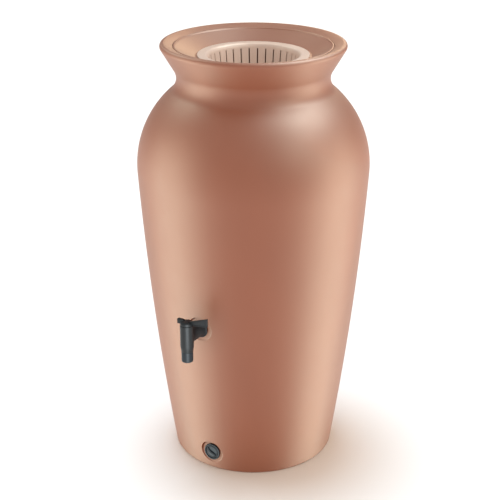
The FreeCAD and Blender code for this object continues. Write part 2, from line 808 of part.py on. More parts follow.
def make_bush():
    body = new_body("bush_solid")
    front = "drain_washer + bush_flange"
    dish = front + " - bush_dish"
    spun(body, "bush_turned", [
        ("bush_bore_r", "drain_washer - bush_tail"),
        ("bush_thread_r - chamfer", "drain_washer - bush_tail"),
        ("bush_thread_r", "drain_washer - bush_tail + chamfer"),
        ("bush_thread_r", "drain_washer"),
        ("bush_flange_r", "drain_washer"),
        ("bush_flange_r", front + " - bush_edge", "bush_edge"),
        ("bush_flange_r - bush_edge", front),
        ("bush_dish_r", front),
        ("bush_dish_r", dish),
        ("bush_seal_r", dish),
        ("bush_seal_r", dish + " - bush_seal_depth"),
        ("bush_bore_r", dish + " - bush_seal_depth"),
    ])
    at_pad(body, "drain_bush", "drain")


def make_plug():
    body = new_body("plug_solid")
    seat = "drain_washer + bush_flange - bush_dish"
    spun(body, "plug_turned", [
        ("0", seat + " - plug_bore_end"),
        ("plug_bore_r", seat + " - plug_bore_end"),
        ("plug_bore_r", seat + " - plug_length"),
        ("plug_thread_r", seat + " - plug_length"),
        ("plug_thread_r", seat),
        ("plug_head_r", seat),
        ("plug_head_r", seat + " + plug_head - chamfer", "chamfer"),
        ("plug_head_r - chamfer", seat + " + plug_head"),
        ("0", seat + " + plug_head"),
    ])
    sketch = plane_sketch(body, "XY_Plane", "grip_sketch")
    rectangle(sketch, "- plug_grip_half_length", "plug_grip_half_length",
              "- plug_grip_half_width", "plug_grip_half_width")
    sketch.AttachmentOffset = Placement(Vector(), Rotation(Vector(0, 0, 1), -SIZES["plug_grip_angle"]))
    bind(sketch, AttachmentOffset_at_Base_at_z=seat + " + chamfer")
    padded(body, "grip", sketch, "plug_head - chamfer + plug_grip")
    at_pad(body, "drain_plug", "drain")
    seal = primitive("Torus", "plug_seal_ring", Radius1="plug_seal_r", Radius2="plug_seal_thick_r")
    bush_floor = "- drain_pad_y - drain_washer - bush_flange + bush_dish"
    subpart(seal, "drain_plug_seal", y=bush_floor + " + plug_seal_sink", z="drain_pad_z", turn=FACING_OUT)


# ---------------------------------------------------------------- build, check and write


def check_and_write():
    doc.recompute()
    for thing in doc.Objects:
        bad = [state for state in thing.State if state in ("Invalid", "Error")]
        if bad:
            raise RuntimeError("%s is %s" % (thing.Name, bad))
    for thing in SUBPARTS:
        if thing.Shape.isNull() or not thing.Shape.isValid():
            raise RuntimeError(thing.Label + " has no valid shape")
    os.makedirs("parts", exist_ok=True)
    for thing in SUBPARTS:
        thing.Shape.exportStep("parts/%s.step" % thing.Label)
        box = thing.Shape.BoundBox
        print("%-20s %2d solid(s) %10.1f cm3  z %7.1f to %7.1f" % (
            thing.Label, len(thing.Shape.Solids), thing.Shape.Volume / 1000, box.ZMin, box.ZMax))


make_barrel()
make_lid()
make_basket()
make_tap_body()
make_nozzle()
make_cock()
make_handle()
make_handle_screw()
make_cap()
washers_and_nut("tap", "tap_outer_washer", "tap_inner_washer", "tap_nut", "tap_thread_r")
make_bush()
washers_and_nut("drain", "drain_outer_washer", "drain_inner_washer", "drain_nut", "bush_thread_r")
make_plug()
check_and_write()
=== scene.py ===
import json
import math

import bmesh
import bpy
import numpy as np
from mathutils import Matrix, Vector

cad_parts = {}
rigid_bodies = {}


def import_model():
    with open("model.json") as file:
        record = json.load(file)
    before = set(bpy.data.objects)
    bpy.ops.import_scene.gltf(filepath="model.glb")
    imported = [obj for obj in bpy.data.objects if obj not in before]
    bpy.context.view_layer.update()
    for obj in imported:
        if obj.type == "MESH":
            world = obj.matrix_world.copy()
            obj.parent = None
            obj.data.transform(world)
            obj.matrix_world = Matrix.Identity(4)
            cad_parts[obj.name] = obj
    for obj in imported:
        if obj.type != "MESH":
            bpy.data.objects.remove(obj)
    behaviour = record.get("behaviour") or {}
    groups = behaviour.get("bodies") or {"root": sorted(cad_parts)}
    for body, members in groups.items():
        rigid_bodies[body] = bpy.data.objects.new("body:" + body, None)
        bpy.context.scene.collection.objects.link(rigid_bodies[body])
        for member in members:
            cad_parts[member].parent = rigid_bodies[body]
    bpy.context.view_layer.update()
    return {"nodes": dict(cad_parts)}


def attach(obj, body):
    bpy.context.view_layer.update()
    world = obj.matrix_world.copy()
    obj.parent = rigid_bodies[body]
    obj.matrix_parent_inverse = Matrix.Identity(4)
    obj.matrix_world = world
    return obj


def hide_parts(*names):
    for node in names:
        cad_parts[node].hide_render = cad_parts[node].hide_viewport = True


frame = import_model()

# Rain barrel: smooth shell, lid, strainer basket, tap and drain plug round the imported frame. Lengths are in
# metres; the origin is the centre of the foot, +Z is up, and the tap and the drain face -Y.

MM = 0.001


# ---------------------------------------------------------------- sizes

# The shell's outline is the CAD's: tangent arcs for side, shoulder and neck, then a straight flare.
# Names that end in _R are radii, in _Z heights above the ground, and in ROUND radii of roundings.
HEIGHT = 1155 * MM
WALL = 4 * MM
BELLY_R = 309.6 * MM
BELLY_Z = 827 * MM
SHOULDER_ROUND = 265 * MM
SIDE_ROUND = 8927 * MM
NECK_R = 201 * MM
NECK_ROUND = 45 * MM
FLARE = math.radians(30.8)
LIP_R = 242 * MM
LIP_FALL = math.radians(20)
REBATE_R = 208.5 * MM
LEDGE_Z = 1135 * MM
MOUTH_R = 190 * MM
FOOT_SIDE = (223.8 * MM, 5 * MM)  # radius and height of the side's lower end
FOOT_ROUND = 5 * MM
FOOT_OUTER_R = 218.8 * MM
FOOT_INNER_R = 192 * MM
KICK_R = 172 * MM
KICK_Z = 12 * MM

# Flat round pads sunk into the side: each one's distance in front of the axis, and its height.
PAD_R = 32.5 * MM
TAP_PAD = (275.5 * MM, 452 * MM)
DRAIN_PAD = (224.7 * MM, 53.5 * MM)
TAP_HOLE_R = 13.6 * MM
DRAIN_HOLE_R = 16.9 * MM

# Where the tap's two axes meet, the top of its barrel and the middle of the drain pad.
TAP_CENTRE = Vector((0, -TAP_PAD[0] - 66.5 * MM, TAP_PAD[1]))
TAP_TOP = TAP_CENTRE + Vector((0, 0, 38.5 * MM))
DRAIN_FACE = Vector((0, -DRAIN_PAD[0], DRAIN_PAD[1]))
TAP_BARREL_R = 17.5 * MM
TAP_STEM_R = 16.5 * MM

# Turns that lay a lathe's Z axis level, towards the barrel's axis and away from it.
FACING_IN = Matrix.Rotation(-math.pi / 2, 4, "X")
FACING_OUT = Matrix.Rotation(math.pi / 2, 4, "X")


# ---------------------------------------------------------------- mesh helpers


def smoothstep(value):
    """Ease from 0 to 1."""
    value = np.clip(value, 0.0, 1.0)
    return value * value * (3 - 2 * value)


def new_object(name, vertices, faces, crease=35):
    """A mesh object with smooth faces that stay sharp across edges steeper than crease degrees."""
    mesh = bpy.data.meshes.new(name)
    mesh.from_pydata([tuple(vertex) for vertex in vertices], [], faces)
    return finish_mesh(name, mesh, crease)


def finish_mesh(name, mesh, crease=35):
    """Weld a mesh, turn its faces outwards, shade it smooth and put it on a new object."""
    mesh.validate()
    builder = bmesh.new()
    builder.from_mesh(mesh)
    bmesh.ops.remove_doubles(builder, verts=builder.verts, dist=1e-6)
    bmesh.ops.recalc_face_normals(builder, faces=builder.faces)
    builder.to_mesh(mesh)
    builder.free()
    mesh.shade_smooth()
    mesh.set_sharp_from_angle(angle=math.radians(crease))
    thing = bpy.data.objects.new(name, mesh)
    bpy.context.scene.collection.objects.link(thing)
    return thing


def rounded(corners, steps=5):
    """Points of an outline whose corners are (r, h) or (r, h, radius of its rounding)."""
    points = []
    count = len(corners)
    for place, corner in enumerate(corners):
        here = Vector(corner[:2])
        if len(corner) == 2:
            points.append(tuple(here))
            continue
        before = (Vector(corners[place - 1][:2]) - here).normalized()
        after = (Vector(corners[(place + 1) % count][:2]) - here).normalized()
        half = before.angle(after) / 2
        setback = corner[2] / math.tan(half)
        middle = here + (before + after).normalized() * (corner[2] / math.sin(half))
        start = here + before * setback - middle
        turn = (math.pi - 2 * half) * (-1 if before.cross(after) < 0 else 1)
        for step in range(steps + 1):
            spoke = start.copy()
            spoke.rotate(Matrix.Rotation(-turn * step / steps, 2))
            points.append(tuple(middle + spoke))
    return points


def lathe(outline, segments):
    """Vertices and faces of a closed outline of (r, h) turned about Z."""
    count = len(outline)
    vertices = []
    for r, h in outline:
        for segment in range(segments):
            angle = 2 * math.pi * segment / segments
            vertices.append((r * math.cos(angle), r * math.sin(angle), h))
    faces = []
    for row in range(count):
        after = (row + 1) % count
        if outline[row][0] < 1e-9 and outline[after][0] < 1e-9:
            continue
        for segment in range(segments):
            beside = (segment + 1) % segments
            faces.append((row * segments + segment, row * segments + beside,
                          after * segments + beside, after * segments + segment))
    return vertices, faces


def turned(name, corners, segments, centre=(0, 0, 0), tilt=Matrix()):
    """A lathe piece from rounded corners in millimetres, tilted and moved to its centre."""
    outline = rounded([tuple(value * MM for value in corner) for corner in corners])
    thing = new_object(name, *lathe(outline, segments))
    thing.data.transform(Matrix.Translation(centre) @ tilt)
    return thing


def slab(name, outline, thickness, bevel, centre, tilt=Matrix()):
    """An outline of (x, z) points in millimetres, thickened along Y about its plane, with bevelled edges."""
    builder = bmesh.new()
    half = thickness / 2 * MM
    front = [builder.verts.new((x * MM, -half, z * MM)) for x, z in outline]
    back = [builder.verts.new((x * MM, half, z * MM)) for x, z in outline]
    builder.faces.new(front)
    builder.faces.new(list(reversed(back)))
    for place in range(len(outline)):
        after = (place + 1) % len(outline)
        builder.faces.new((front[place], back[place], back[after], front[after]))
    bmesh.ops.recalc_face_normals(builder, faces=builder.faces)
    sharp = [edge for edge in builder.edges if edge.calc_face_angle(0) > math.radians(30)]
    bmesh.ops.bevel(builder, geom=sharp, offset=bevel * MM, segments=3, profile=0.5, affect="EDGES")
    mesh = bpy.data.meshes.new(name)
    builder.to_mesh(mesh)
    builder.free()
    mesh.transform(Matrix.Translation(centre) @ tilt)
    return finish_mesh(name, mesh, 50)


def joined(name, things):
    """One object from several, which it takes the place of."""
    builder = bmesh.new()
    for thing in things:
        builder.from_mesh(thing.data)
        mesh = thing.data
        bpy.data.objects.remove(thing)
        bpy.data.meshes.remove(mesh)
    mesh = bpy.data.meshes.new(name)
    builder.to_mesh(mesh)
    builder.free()
    whole = bpy.data.objects.new(name, mesh)
    bpy.context.scene.collection.objects.link(whole)
    return whole


# ---------------------------------------------------------------- barrel


def arc(centre, radius, start, stop, steps):
    """Points of a circular arc between two angles."""
    angles = np.linspace(start, stop, steps)
    return [(centre[0] + radius * math.cos(a), centre[1] + radius * math.sin(a)) for a in angles]


class Outline:
    """Centres and angles of the shell's arcs, worked out from the driving sizes."""

    def __init__(self):
        self.shoulder = (BELLY_R - SHOULDER_ROUND, BELLY_Z)
        foot = (FOOT_SIDE[0] - self.shoulder[0], FOOT_SIDE[1] - self.shoulder[1])
        apart = SIDE_ROUND - SHOULDER_ROUND
        reach = math.hypot(*foot)
        lean = (SIDE_ROUND ** 2 - apart ** 2 - reach ** 2) / (2 * apart)
        self.side_angle = math.atan2(foot[1], foot[0]) + math.acos(lean / reach)
        self.side = (self.shoulder[0] - apart * math.cos(self.side_angle),
                     self.shoulder[1] - apart * math.sin(self.side_angle))
        neck_run = NECK_R + NECK_ROUND - self.shoulder[0]
        neck_rise = math.sqrt((SHOULDER_ROUND + NECK_ROUND) ** 2 - neck_run ** 2)
        self.neck = (NECK_R + NECK_ROUND, BELLY_Z + neck_rise)
        self.neck_angle = math.atan2(neck_rise, neck_run)
        out = (math.cos(FLARE), -math.sin(FLARE))
        foot_of_flare = (self.neck[0] - NECK_ROUND * out[0], self.neck[1] - NECK_ROUND * out[1])
        gap = (LIP_R - foot_of_flare[0]) * out[0] + (HEIGHT - foot_of_flare[1]) * out[1]
        self.lip_round = gap / (out[0] + out[1] - 1)
        self.lip = (LIP_R - self.lip_round, HEIGHT - self.lip_round)

    def side_r(self, height, inset=0.0):
        """Radius of the side at a height, on the outside or one wall in."""
        return self.side[0] + np.sqrt((SIDE_ROUND - inset) ** 2 - (height - self.side[1]) ** 2)

    def upper(self, inset=0.0):
        """The outline from the belly to the inner end of the lip."""
        points = arc(self.shoulder, SHOULDER_ROUND - inset, self.side_angle, self.neck_angle, 70)
        points += arc(self.neck, NECK_ROUND + inset, self.neck_angle + math.pi, math.pi - FLARE, 26)[1:]
        lip = arc(self.lip, self.lip_round - inset, -FLARE, math.pi / 2 + LIP_FALL, 16)
        foot = points[-1]
        top = lip[0]
        for share in np.linspace(0, 1, 9)[1:-1]:
            points.append((foot[0] + (top[0] - foot[0]) * share, foot[1] + (top[1] - foot[1]) * share))
        return points + lip


SHELL = Outline()

# Distances from a pad's centre at which the shell's rows and columns run. They take in both holes' radii, lie
# close together at the pad's rim, are bent into circles as far as CIRCLE_TO, and end at REGION.
CIRCLE_TO = 38.8 * MM
REGION = 45 * MM
PAD_LINES = [line * MM for line in (5, 10)] + [TAP_HOLE_R, DRAIN_HOLE_R]
PAD_LINES += [line * MM for line in (20, 24, 27, 29.4, 30.6, 31.3, 31.9, 32.4, 32.9, 33.5, 34.2)]
PAD_LINES += [line * MM for line in (35, 36, 37.2)]
PAD_LINES += [CIRCLE_TO, 41 * MM, REGION]
PAD_COLUMNS = [-line for line in reversed(PAD_LINES)] + [0.0] + PAD_LINES
PLAIN_COLUMNS = 136
MIN_COLUMN_R = 190 * MM  # at smaller radii the columns close in on the axis

# A pad's edge eases from the floor to the side: how far inside the pad's radius it starts, and its width.
EDGE_START = 1.2 * MM
EDGE_WIDTH = 2.9 * MM


def side_rows():
    """Heights of the rows on the side: even ones, and the pads' own lines."""
    rows = []
    for centre in (DRAIN_PAD[1], TAP_PAD[1]):
        rows += [centre + column for column in PAD_COLUMNS]
    low = max(row for row in rows if row < TAP_PAD[1] - REGION - MM)
    high = max(rows)
    rows += list(np.linspace(low, TAP_PAD[1] - REGION, 24)[1:-1])
    rows += list(np.linspace(high, BELLY_Z + SHOULDER_ROUND * math.sin(SHELL.side_angle), 28)[1:-1])
    return sorted(rows)


def to_circles(across, up):
    """Bend the square grid lines round a pad's centre into circles, fading out at the region's edge."""
    square = np.maximum(np.abs(across), np.abs(up))
    reach = np.hypot(across, up)
    shrink = np.where(reach > 1e-9, square / np.maximum(reach, 1e-9), 1.0)
    keep = smoothstep((square - CIRCLE_TO) / (REGION - CIRCLE_TO))
    scale = shrink * (1 - keep) + keep
    return across * scale, up * scale


def side_grid(rows, inset):
    """Points of the side, rows by columns, with both pads sunk into it."""
    heights = np.array(rows)
    grid = column_grid([(SHELL.side_r(height, inset), height) for height in heights])
    pad_columns = slice(0, len(PAD_COLUMNS))
    for pad_y, pad_z in (TAP_PAD, DRAIN_PAD):
        near = np.abs(heights - pad_z) <= REGION + 1e-6
        block = grid[near, pad_columns]
        across, up = to_circles(block[..., 0], block[..., 2] - pad_z)
        away = np.hypot(across, up)
        surface = -np.sqrt(SHELL.side_r(pad_z + up, inset) ** 2 - across ** 2)
        rim = PAD_R + inset
        part = smoothstep((away - (rim - EDGE_START)) / EDGE_WIDTH)
        floor = -(pad_y - inset)
        grid[near, pad_columns] = np.stack([across, floor + (surface - floor) * part, pad_z + up], -1)
    return grid


def column_grid(profile):
    """Turn an outline about Z: straight columns in front, where the pads are, even ones elsewhere."""
    rows = []
    for r, height in profile:
        front = np.arcsin(np.array(PAD_COLUMNS) / max(r, MIN_COLUMN_R))
        rest = np.linspace(front[-1], 2 * math.pi + front[0], PLAIN_COLUMNS + 2)[1:-1]
        angles = np.concatenate([front, rest])
        level = np.full_like(angles, height)
        rows.append(np.stack([r * np.sin(angles), -r * np.cos(angles), level], -1))
    return np.array(rows)


def make_barrel():
    """The hollow vessel as one grid, from below its middle up the outside, over the rim and down inside."""
    rows = side_rows()
    foot_edge = arc((FOOT_OUTER_R, FOOT_ROUND), FOOT_ROUND, -math.pi / 2, -0.15, 6)
    under = [(0.0, KICK_Z), (KICK_R * 0.5, KICK_Z), (KICK_R - 6 * MM, KICK_Z), (KICK_R, KICK_Z - 1 * MM),
             (KICK_R + 5 * MM, KICK_Z - 3.6 * MM), (FOOT_INNER_R - 4 * MM, 1.6 * MM),
             (FOOT_INNER_R, 0.3 * MM), (FOOT_INNER_R + 3 * MM, 0.0)]
    floor = [(r, z + WALL) for r, z in under[:-1]]
    floor += [(FOOT_OUTER_R - 8 * MM, WALL), (FOOT_OUTER_R - 1 * MM, WALL + MM)]
    outside = SHELL.upper()
    inside = SHELL.upper(WALL)
    rebate_z = outside[-1][1] - (outside[-1][0] - REBATE_R) * math.tan(LIP_FALL)
    rim = rounded([outside[-1], (REBATE_R, rebate_z, 1.2 * MM), (REBATE_R, LEDGE_Z, 0.8 * MM),
                   (MOUTH_R, LEDGE_Z, 1.2 * MM), (MOUTH_R, LEDGE_Z - WALL, 1.2 * MM),
                   (REBATE_R + WALL, LEDGE_Z - WALL), (REBATE_R + WALL, rebate_z - 2.8 * MM)])
    parts = [
        column_grid(under + foot_edge),
        side_grid(rows, 0.0),
        column_grid(outside[1:] + rim[1:] + list(reversed(inside[1:]))),
        side_grid(rows, WALL)[::-1],
        column_grid(list(reversed(floor))),
    ]
    starts = np.cumsum([0] + [len(part) for part in parts])
    grid = np.concatenate(parts)
    row_count, columns = grid.shape[:2]
    outer_start, inner_end = starts[1], starts[4] - 1
    half = len(PAD_LINES)

    def hole_lines(centre, radius):
        """The grid lines round a hole, as (low row, high row, left column, right column)."""
        step = PAD_LINES.index(radius) + 1
        middle = min(range(len(rows)), key=lambda place: abs(rows[place] - centre))
        return middle - step, middle + step, half - step, half + step

    holes = [hole_lines(TAP_PAD[1], TAP_HOLE_R), hole_lines(DRAIN_PAD[1], DRAIN_HOLE_R)]

    def in_hole(side_row, column):
        return any(low <= side_row < high and left <= column < right
                   for low, high, left, right in holes)

    faces = []
    for row in range(row_count - 1):
        outer_row = row - outer_start
        inner_row = inner_end - row - 1
        for column in range(columns):
            if starts[1] <= row < starts[2] - 1 and in_hole(outer_row, column):
                continue
            if starts[3] <= row < starts[4] - 1 and in_hole(inner_row, column):
                continue
            beside = (column + 1) % columns
            faces.append((row * columns + column, row * columns + beside,
                          (row + 1) * columns + beside, (row + 1) * columns + column))
    for low, high, left, right in holes:
        ring = [(low, column) for column in range(left, right)]
        ring += [(row, right) for row in range(low, high)]
        ring += [(high, column) for column in range(right, left, -1)]
        ring += [(row, left) for row in range(high, low, -1)]
        for place, (row, column) in enumerate(ring):
            next_row, next_column = ring[(place + 1) % len(ring)]
            faces.append(((outer_start + row) * columns + column,
                          (outer_start + next_row) * columns + next_column,
                          (inner_end - next_row) * columns + next_column,
                          (inner_end - row) * columns + column))
    return new_object("barrel_shell", grid.reshape(-1, 3), faces, crease=50)


# ---------------------------------------------------------------- lid

LID_RIBS = 12


def make_lid():
    """Dished ring with a bead round its edge, a collar round its hole, a guide skirt and ribs below.

    Its corners are (radius, height above the ledge, rounding).
    """
    ledge = Vector((0, 0, LEDGE_Z))
    corners = [
        (204.9, 0, 0.6), (207.9, 0, 0.6), (207.9, 12.6, 2.5), (203.4, 12.6, 2.0), (201.2, 9.2, 1.5),
        (151.5, -16.4, 6), (126, -16.4, 1.5), (126, -26, 1.2), (129, -26, 1.2), (129, -19.4, 1.0),
        (150, -19.4, 3), (185.4, -2.2, 0.8), (185.4, -11, 1.0), (188.4, -11, 1.0), (188.4, 0.4, 0.8),
        (204.9, 7.3, 1.0),
    ]
    pieces = [turned("lid_ring", corners, 256, ledge)]
    rib = [(128, -24), (165, -24), (186, -11), (186, -1.2), (150.5, -18.2), (128, -18.2)]
    for number in range(LID_RIBS):
        turn = Matrix.Rotation(2 * math.pi * number / LID_RIBS, 4, "Z")
        pieces.append(slab("rib", rib, 3, 0.5, ledge, turn))
    return joined("lid_cover", pieces)


# ---------------------------------------------------------------- basket

SEAT_Z = LEDGE_Z - 16.4 * MM
SLOTS = 33
SLOT_HALF = 1.5 * MM
FLOOR_SLOTS = 16
FLOOR_SLOT_HALF = 2 * MM
BARS = 3  # columns of the mesh inside each bar between two slots
BASKET_TOP = 4.4 * MM
BASKET_DEPTH = 112 * MM
BASKET_WALL = 2.5 * MM
BASKET_MOUTH_R = 118.3 * MM
BASKET_FOOT_R = 105.8 * MM
FLANGE_R = 145.8 * MM
SKIN_GAP = 0.02 * MM  # keeps the basket's floor off the faces of its wall piece


def windowed(profile, slot_rows, count, half_width, turn, least_r):
    """Turn a closed outline about Z with count windows cut through it, the first at the angle turn.

    slot_rows holds, for the outer and for the inner skin, the first and last place of the outline's points
    between which a window runs; both runs have the same number of points. At radii under least_r the sides
    of the windows close in on the axis.
    """
    step = 2 * math.pi / count
    points = []
    for r, h in profile:
        row = []
        half = math.asin(half_width / max(r, least_r))
        for slot in range(count):
            middle = turn + slot * step
            row += [middle - half, middle + half]
            row += list(np.linspace(middle + half, middle + step - half, BARS + 2)[1:-1])
        columns = len(row)
        points += [(r * math.cos(a), r * math.sin(a), h) for a in row]
    per_slot = BARS + 2
    (outer_first, outer_last), (inner_first, inner_last) = slot_rows
    faces = []
    for row in range(len(profile)):
        after = (row + 1) % len(profile)
        if profile[row][0] < 1e-9 and profile[after][0] < 1e-9:
            continue
        windows = outer_first <= row < outer_last or inner_first <= row < inner_last
        for column in range(columns):
            if windows and column % per_slot == 0:
                continue
            beside = (column + 1) % columns
            faces.append((row * columns + column, row * columns + beside,
                          after * columns + beside, after * columns + column))
    for slot in range(count):
        left = slot * per_slot
        right = left + 1
        for place in range(outer_last - outer_first):
            low, high = outer_first + place, outer_first + place + 1
            across_low, across_high = inner_last - place, inner_last - place - 1
            for column in (left, right):
                faces.append((low * columns + column, high * columns + column,
                              across_high * columns + column, across_low * columns + column))
        for outer_row, inner_row in ((outer_first, inner_last), (outer_last, inner_first)):
            faces.append((outer_row * columns + left, outer_row * columns + right,
                          inner_row * columns + right, inner_row * columns + left))
    return points, faces


def bevelled(thing, width=0.3 * MM):
    """Bevel the sharp edges of a finished mesh."""
    builder = bmesh.new()
    builder.from_mesh(thing.data)
    sharp = [edge for edge in builder.edges
             if len(edge.link_faces) == 2 and edge.calc_face_angle(0) > math.radians(40)]
    bmesh.ops.bevel(builder, geom=sharp, offset=width, segments=2, profile=0.5, affect="EDGES",
                    clamp_overlap=True)
    builder.to_mesh(thing.data)
    builder.free()
    thing.data.shade_smooth()
    thing.data.set_sharp_from_angle(angle=math.radians(50))
    return thing


def make_basket():
    """Slotted tapering wall with a flange, and a slotted floor; heights are from the flange's underside."""
    depth, wall, foot_r, mouth_r = -BASKET_DEPTH, BASKET_WALL, BASKET_FOOT_R, BASKET_MOUTH_R
    heights = list(np.linspace(-96 * MM, -9 * MM, 7))

    def wall_r(height):
        return foot_r + (mouth_r - foot_r) * (height - depth) / (-depth - 1 * MM)

    outer = [(wall_r(h) + wall, h) for h in heights]
    inner = [(wall_r(h), h) for h in reversed(heights)]
    foot = rounded([(foot_r - 2 * MM, depth + wall), (foot_r - 2 * MM, depth), (foot_r + wall, depth, 2 * MM),
                    outer[0]], 4)[1:-1]
    flange = rounded([outer[-1], (mouth_r + wall, 0, 1 * MM), (FLANGE_R, 0, 1.2 * MM),
                      (FLANGE_R, BASKET_TOP, 2.0 * MM), (mouth_r + 3.0 * MM, BASKET_TOP + 0.2 * MM, 6.5 * MM),
                      (mouth_r - 0.1 * MM, -4.0 * MM, 5 * MM), inner[0]], 7)[1:-1]
    profile = foot + outer + flange + inner + [(foot_r, depth + wall), (foot_r - 2 * MM, depth + wall)]
    run = len(heights) - 1
    outer_first = len(foot)
    inner_first = outer_first + len(outer) + len(flange)
    runs = ((outer_first, outer_first + run), (inner_first, inner_first + run))
    wall_piece = new_object("basket_wall", *windowed(profile, runs, SLOTS, SLOT_HALF, math.pi, 60 * MM))

    radii = [24 * MM, 48 * MM, 71 * MM, 94 * MM]
    low, high = depth + SKIN_GAP, depth + wall - SKIN_GAP
    edge = foot_r - 1.5 * MM
    profile = [(0, low)] + [(r, low) for r in radii] + [(edge, low), (edge, high)]
    profile += [(r, high) for r in reversed(radii)] + [(0, high)]
    runs = ((1, 4), (7, 10))
    floor_piece = new_object("basket_floor",
                             *windowed(profile, runs, FLOOR_SLOTS, FLOOR_SLOT_HALF, 0.0, radii[0]))
    basket = joined("strainer_basket", [bevelled(wall_piece), bevelled(floor_piece)])
    basket.data.transform(Matrix.Translation((0, 0, SEAT_Z)))
    return basket


# ---------------------------------------------------------------- tap

TAP_SEGMENTS = 128
FILLET_WIDTH = 2.6 * MM
FILLET_STEPS = 6
STEM_GROOVES = (27, 34, 41)  # millimetres out from the tap's axis
THREAD_PITCH = 2


def tap_fillet():
    """The moulded fillet round the saddle where the tap's stem leaves its upright barrel."""
    width, steps, count = FILLET_WIDTH, FILLET_STEPS, TAP_SEGMENTS
    points = []
    for number in range(count):
        angle = 2 * math.pi * number / count
        across, up = math.cos(angle), math.sin(angle)
        reach = min(TAP_STEM_R + width, 0.998 * TAP_BARREL_R / max(abs(across), 1e-6))
        root = math.sqrt(TAP_BARREL_R ** 2 - (TAP_STEM_R * across) ** 2)
        on_stem = Vector((TAP_STEM_R * across, root + width, TAP_STEM_R * up))
        corner = Vector((TAP_STEM_R * across, root, TAP_STEM_R * up))
        out = math.sqrt(TAP_BARREL_R ** 2 - (reach * across) ** 2)
        on_barrel = Vector((reach * across, out, reach * up))
        for t in np.linspace(0, 1, steps):
            points.append(on_stem * (1 - t) ** 2 + corner * (2 * t * (1 - t)) + on_barrel * t ** 2)
    faces = []
    for number in range(count):
        after = (number + 1) % count
        for step in range(steps - 1):
            faces.append((number * steps + step, number * steps + step + 1,
                          after * steps + step + 1, after * steps + step))
    fillet = new_object("tap_fillet", points, faces)
    fillet.data.transform(Matrix.Translation(TAP_CENTRE))
    return fillet


def threads(root, crest, start, turns):
    """Corners of plain rings that stand for a thread, from root to crest radius, in millimetres."""
    corners = []
    for turn in range(turns):
        low = start + THREAD_PITCH * turn
        corners += [(root, low), (crest, low + 0.8), (crest, low + 1.2)]
    return corners


def make_tap_body():
    """Upright barrel, and a stem with three grooves, a trumpet, a flange and a threaded tail."""
    barrel = turned("tap_barrel", [
        (13.7, -36, 0.3), (15.3, -36, 0.5), (17.5, -22, 6), (17.5, 38.5, 1), (6.1, 38.5, 0.4),
        (6.1, 34.5), (10.5, 34.5), (10.5, -23), (13.7, -23)], TAP_SEGMENTS, TAP_CENTRE)
    outline = [(6.5, 0), (16.5, 0)]
    for place in STEM_GROOVES:
        outline += [(16.5, place - 1.4), (16.0, place - 0.9, 0.3), (16.0, place + 0.9, 0.3),
                    (16.5, place + 1.4)]
    outline += [(16.5, 46, 26), (19.6, 58.6, 3), (20.4, 60, 0.6), (22.5, 60, 1.0), (22.5, 64, 0.5),
                (12.4, 64)]
    outline += threads(12.4, 13.2, 66.4, 9) + [(12.4, 85, 0.6), (6.5, 85, 0.4)]
    stem = turned("tap_stem", outline, TAP_SEGMENTS)
    for vertex in stem.data.vertices:
        if vertex.co.z < 1e-6:
            # The stem's open end follows the round of the upright barrel, just inside its wall.
            vertex.co.z = 0.8 * math.sqrt(TAP_BARREL_R ** 2 - vertex.co.x ** 2)
    stem.data.transform(Matrix.Translation(TAP_CENTRE) @ FACING_IN)
    return joined("tap_moulding", [barrel, stem, tap_fillet()])


def make_nozzle():
    """Plain hose nozzle with a bevelled mouth and a spigot up inside the tap's barrel."""
    return turned("hose_nozzle", [
        (11, -63, 0.3), (12, -64, 0.4), (14.4, -64, 0.8), (15.3, -62.8, 0.8), (15.3, -36, 0.5),
        (13.6, -36), (13.6, -26, 0.5), (11, -26, 0.3)], TAP_SEGMENTS, TAP_CENTRE)


def make_lever():
    """Domed hub with a framed and ribbed fin on one side and a short wing on the other, in millimetres."""
    dome = [(7.7 + 9.1 * math.cos(t), 3.5 + 7.5 * math.sin(t)) for t in np.linspace(0, math.pi / 2, 14)]
    hub = turned("lever_hub", [(2.2, 0.3), (16.8, 0.3, 1.2)] + dome + [(7.6, 7.2), (2.2, 7.2)],
                 TAP_SEGMENTS, TAP_TOP)
    root, tip = 10, 62.8

    def low(x):
        """The fin's lower edge."""
        return 1 + 7 / 52.8 * (x - root)

    def high(x):
        """The fin's upper edge."""
        return 12.5 + 18.3 / 52.8 * (x - root)

    def plate(start, stop, below, above, thickness, bevel):
        """Part of the fin between two shares of its height."""
        corners = [(x, low(x) + (high(x) - low(x)) * share) for x, share in
                   ((start, below), (stop, below), (stop, above), (start, above))]
        return slab("fin", corners, thickness, bevel, TAP_TOP)

    web = plate(root, 62, 0.02, 0.98, 3.0, 0.3)
    borders = [slab("fin", corners, 5, 0.7, TAP_TOP) for corners in (
        [(root, low(root)), (tip, low(tip)), (tip, low(tip) + 2.8), (root, low(root) + 2.4)],
        [(root, high(root) - 2), (tip, high(tip) - 1.8), (tip, high(tip)), (root, high(root))],
        [(60.4, low(60.4)), (tip, low(tip)), (tip, high(tip)), (60.4, high(60.4))])]
    panels = [plate(root, 43, 0.36, 0.84, 4.6, 0.5), plate(46, 48.4, 0.1, 0.95, 4.4, 0.5),
              plate(51, 53.4, 0.1, 0.95, 4.4, 0.5)]
    wing = slab("wing", [(-26.5, 0.6), (-8, 0.6), (-8, 13.9), (-26.5, 13.9)], 9, 1.6, TAP_TOP)
    return joined("lever", [hub, web, *borders, *panels, wing])


def make_cap():
    """Low domed cap on the middle of the lever's hub."""
    dome = [(7.5 * math.cos(t), 10.2 + 2.2 * math.sin(t)) for t in np.linspace(0.15, math.pi / 2, 10)]
    corners = [(6.2, 7.2, 0.3), (7.5, 7.2, 0.3)] + dome[:-1] + [(0, 12.4), (0, 9.8), (6.2, 9.8)]
    return turned("lever_cap", corners, 96, TAP_TOP)


# ---------------------------------------------------------------- drain

DRAIN_SEGMENTS = 128
